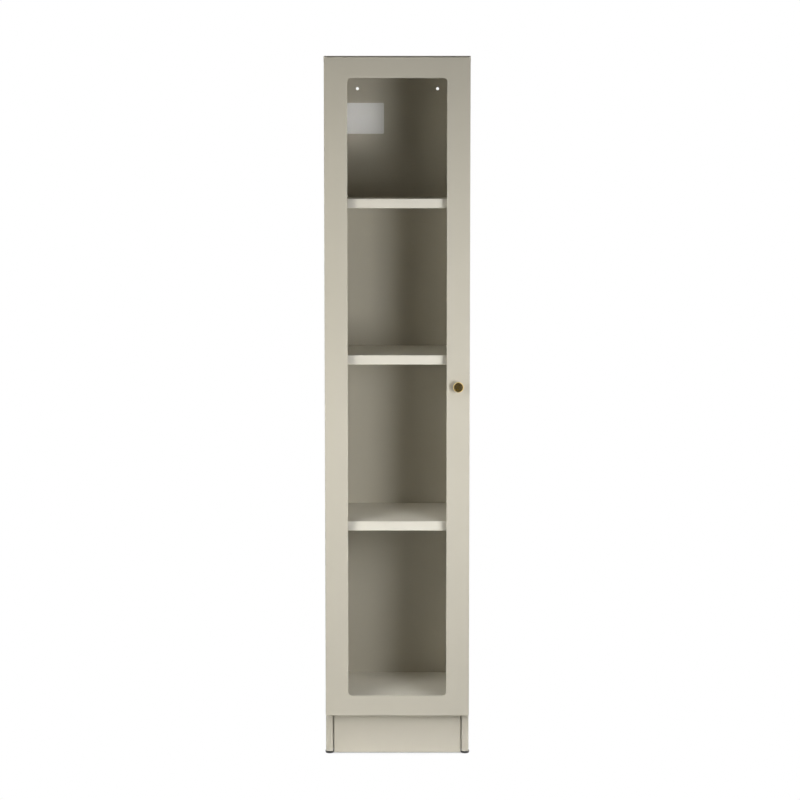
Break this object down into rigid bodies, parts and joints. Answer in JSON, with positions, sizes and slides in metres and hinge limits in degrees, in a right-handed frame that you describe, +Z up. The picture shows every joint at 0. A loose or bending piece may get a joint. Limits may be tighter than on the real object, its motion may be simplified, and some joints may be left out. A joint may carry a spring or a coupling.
{
  "type": "glazed display cabinet",
  "caption": "Tall narrow display cabinet of folded sheet steel with shelves, a recessed plinth, low feet and a side-hung glazed door with a brass knob.",
  "frame": {"origin": "on the ground, at the centre of the whole part's outline, knob included", "axes": "+Z up, -Y out of the door's front, +X to the viewer's right, towards the knob"},
  "size_m": [0.3838, 0.4038, 1.845],
  "materials": {
    "cabinet_paint": "satin powder coat",
    "clear_glass": "clear float glass",
    "aged_brass": "satin, slightly aged",
    "black_plastic": "moulded",
    "white_nylon": "moulded",
    "zinc_steel": "zinc plated",
    "glazing_tape": "foam",
    "magnet": "ground",
    "clear_rubber": "soft",
    "catch_plastic": "moulded"
  },
  "bodies": {
    "carcass": {"left_side_panel": "cabinet_paint", "right_side_panel": "cabinet_paint", "top_panel": "cabinet_paint", "floor_panel": "cabinet_paint", "floor_brackets": "cabinet_paint", "shelf_lower": "cabinet_paint", "shelf_lower_brackets": "cabinet_paint", "shelf_middle": "cabinet_paint", "shelf_middle_brackets": "cabinet_paint", "shelf_upper": "cabinet_paint", "shelf_upper_brackets": "cabinet_paint", "back_panel": "cabinet_paint", "plinth_panel": "cabinet_paint", "foot_front_left": "black_plastic", "foot_front_right": "black_plastic", "foot_rear_left": "black_plastic", "foot_rear_right": "black_plastic", "foot_plates": "cabinet_paint", "lower_hinge_bracket": "cabinet_paint", "upper_hinge_bracket": "cabinet_paint", "lower_hinge_pin": "zinc_steel", "upper_hinge_pin": "zinc_steel", "lower_catch_housing": "catch_plastic", "upper_catch_housing": "catch_plastic", "lower_catch_magnet": "magnet", "upper_catch_magnet": "magnet", "door_bumpers": "clear_rubber", "back_screws": "zinc_steel", "top_screws": "zinc_steel"},
    "door": {"door_frame": "cabinet_paint", "glass_pane": "clear_glass", "glazing_tape": "glazing_tape", "glass_retainer_left": "cabinet_paint", "glass_retainer_right": "cabinet_paint", "glass_retainer_bottom": "cabinet_paint", "glass_retainer_top": "cabinet_paint", "retainer_studs": "zinc_steel", "retainer_nuts": "zinc_steel", "lower_hinge_bush": "white_nylon", "upper_hinge_bush": "white_nylon", "knob": "aged_brass", "knob_screw": "zinc_steel"}
  },
  "joints": [
    {"name": "door_hinge", "type": "hinge", "parent": "carcass", "child": "door", "pos_m": [-0.183, -0.1669, 0.97475], "axis": [0, 0, -1], "range_deg": [0, 105]}
  ]
}
